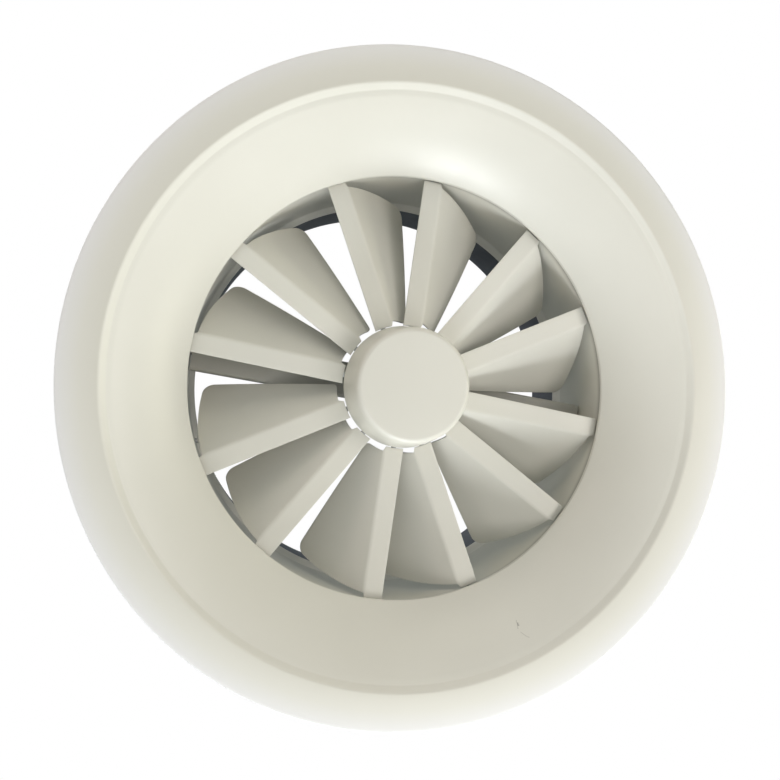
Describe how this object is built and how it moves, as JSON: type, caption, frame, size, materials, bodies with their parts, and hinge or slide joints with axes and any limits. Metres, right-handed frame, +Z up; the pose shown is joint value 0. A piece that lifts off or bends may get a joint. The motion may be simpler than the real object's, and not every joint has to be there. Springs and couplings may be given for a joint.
{
  "type": "ceiling swirl diffuser",
  "caption": "Round ceiling air diffuser: bell-mouth face ring, adjustable swirl vanes set between a capped centre hub and the neck, crossbar and round duct spigot.",
  "frame": {"origin": "centre of the face ring, in the plane of its lowest point", "axes": "+Z up along the diffuser's axis into the duct, the face looks down along -Z; vane 1's axis points 81.35 degrees from +X towards -Y"},
  "size_m": [0.4712, 0.4712, 0.1832],
  "materials": {
    "powder_coat": "warm off-white powder coat, satin, fine orange peel",
    "slate_coat": "dark slate paint, matt",
    "galvanised": "galvanised sheet with faint spangle",
    "zinc": "zinc plated, semi-bright",
    "spring_steel": "blued spring steel",
    "rubber": "black moulded rubber",
    "foam": "closed-cell foam strip",
    "alloy": "cast and turned alloy"
  },
  "bodies": {
    "frame": {"face_nozzle": "powder_coat", "neck_shell": "powder_coat", "neck_band": "galvanised", "neck_band_rivet_1": "zinc", "neck_band_rivet_2": "zinc", "neck_band_rivet_3": "zinc", "spigot_collar": "slate_coat", "spigot_lip_seal": "rubber", "ceiling_gasket": "foam", "crossbar": "powder_coat", "crossbar_screw_1": "zinc", "crossbar_screw_2": "zinc", "crossbar_nut": "zinc", "hub_spacer": "zinc", "hub_drum": "galvanised", "centre_screw": "zinc", "screw_washer": "zinc", "ring_circlip": "spring_steel", "cap_clip_1": "spring_steel", "cap_clip_2": "spring_steel", "cap_clip_3": "spring_steel"},
    "ring": {"drive_ring": "alloy", "setting_lever": "zinc"},
    "cap": {"hub_cap": "powder_coat"},
    "vane_01_set": {"vane_01": "powder_coat", "vane_crank_01": "zinc", "vane_pivot_01": "zinc"},
    "vane_02_set": {"vane_02": "powder_coat", "vane_crank_02": "zinc", "vane_pivot_02": "zinc"},
    "vane_03_set": {"vane_03": "powder_coat", "vane_crank_03": "zinc", "vane_pivot_03": "zinc"},
    "vane_04_set": {"vane_04": "powder_coat", "vane_crank_04": "zinc", "vane_pivot_04": "zinc"},
    "vane_05_set": {"vane_05": "powder_coat", "vane_crank_05": "zinc", "vane_pivot_05": "zinc"},
    "vane_06_set": {"vane_06": "powder_coat", "vane_crank_06": "zinc", "vane_pivot_06": "zinc"},
    "vane_07_set": {"vane_07": "powder_coat", "vane_crank_07": "zinc", "vane_pivot_07": "zinc"},
    "vane_08_set": {"vane_08": "powder_coat", "vane_crank_08": "zinc", "vane_pivot_08": "zinc"},
    "vane_09_set": {"vane_09": "powder_coat", "vane_crank_09": "zinc", "vane_pivot_09": "zinc"},
    "vane_10_set": {"vane_10": "powder_coat", "vane_crank_10": "zinc", "vane_pivot_10": "zinc"},
    "vane_11_set": {"vane_11": "powder_coat", "vane_crank_11": "zinc", "vane_pivot_11": "zinc"},
    "vane_12_set": {"vane_12": "powder_coat", "vane_crank_12": "zinc", "vane_pivot_12": "zinc"}
  },
  "joints": [
    {"name": "ring_turn", "type": "hinge", "parent": "frame", "child": "ring", "pos_m": [0, 0, 0.0651], "axis": [0, 0, -1], "range_deg": [0, 11.05]},
    {"name": "cap_pull", "type": "slide", "parent": "frame", "child": "cap", "axis": [0, 0, -1], "range_m": [0, 0.06], "stiffness_N_per_m": 120, "springref_m": -0.05},
    {"name": "vane_01_tilt", "type": "hinge", "parent": "frame", "child": "vane_01_set", "pos_m": [0.01504, -0.09886, 0.0536], "axis": [0.1504, -0.9886, 0], "range_deg": [0, 28.1]},
    {"name": "vane_02_tilt", "type": "hinge", "parent": "frame", "child": "vane_02_set", "pos_m": [0.0662, -0.07495, 0.0536], "axis": [0.662, -0.7495, 0], "range_deg": [0, 28.1]},
    {"name": "vane_03_tilt", "type": "hinge", "parent": "frame", "child": "vane_03_set", "pos_m": [0.09314, -0.03641, 0.0536], "axis": [0.9314, -0.3641, 0], "range_deg": [0, 28.1]},
    {"name": "vane_04_tilt", "type": "hinge", "parent": "frame", "child": "vane_04_set", "pos_m": [0.09801, 0.01985, 0.0536], "axis": [0.9801, 0.1985, 0], "range_deg": [0, 28.1]},
    {"name": "vane_05_tilt", "type": "hinge", "parent": "frame", "child": "vane_05_set", "pos_m": [0.0781, 0.06246, 0.0536], "axis": [0.781, 0.6246, 0], "range_deg": [0, 28.1]},
    {"name": "vane_06_tilt", "type": "hinge", "parent": "frame", "child": "vane_06_set", "pos_m": [0.03181, 0.0948, 0.0536], "axis": [0.3181, 0.948, 0], "range_deg": [0, 28.1]},
    {"name": "vane_07_tilt", "type": "hinge", "parent": "frame", "child": "vane_07_set", "pos_m": [-0.01504, 0.09886, 0.0536], "axis": [-0.1504, 0.9886, 0], "range_deg": [0, 28.1]},
    {"name": "vane_08_tilt", "type": "hinge", "parent": "frame", "child": "vane_08_set", "pos_m": [-0.0662, 0.07495, 0.0536], "axis": [-0.662, 0.7495, 0], "range_deg": [0, 28.1]},
    {"name": "vane_09_tilt", "type": "hinge", "parent": "frame", "child": "vane_09_set", "pos_m": [-0.09314, 0.03641, 0.0536], "axis": [-0.9314, 0.3641, 0], "range_deg": [0, 28.1]},
    {"name": "vane_10_tilt", "type": "hinge", "parent": "frame", "child": "vane_10_set", "pos_m": [-0.09801, -0.01985, 0.0536], "axis": [-0.9801, -0.1985, 0], "range_deg": [0, 28.1]},
    {"name": "vane_11_tilt", "type": "hinge", "parent": "frame", "child": "vane_11_set", "pos_m": [-0.0781, -0.06246, 0.0536], "axis": [-0.781, -0.6246, 0], "range_deg": [0, 28.1]},
    {"name": "vane_12_tilt", "type": "hinge", "parent": "frame", "child": "vane_12_set", "pos_m": [-0.03181, -0.0948, 0.0536], "axis": [-0.3181, -0.948, 0], "range_deg": [0, 28.1]}
  ],
  "couplings": [
    {"joint": "vane_01_tilt", "follows": "ring_turn", "ratio": 2.5339},
    {"joint": "vane_02_tilt", "follows": "ring_turn", "ratio": 2.5339},
    {"joint": "vane_03_tilt", "follows": "ring_turn", "ratio": 2.5339},
    {"joint": "vane_04_tilt", "follows": "ring_turn", "ratio": 2.5339},
    {"joint": "vane_05_tilt", "follows": "ring_turn", "ratio": 2.5339},
    {"joint": "vane_06_tilt", "follows": "ring_turn", "ratio": 2.5339},
    {"joint": "vane_07_tilt", "follows": "ring_turn", "ratio": 2.5339},
    {"joint": "vane_08_tilt", "follows": "ring_turn", "ratio": 2.5339},
    {"joint": "vane_09_tilt", "follows": "ring_turn", "ratio": 2.5339},
    {"joint": "vane_10_tilt", "follows": "ring_turn", "ratio": 2.5339},
    {"joint": "vane_11_tilt", "follows": "ring_turn", "ratio": 2.5339},
    {"joint": "vane_12_tilt", "follows": "ring_turn", "ratio": 2.5339}
  ]
}
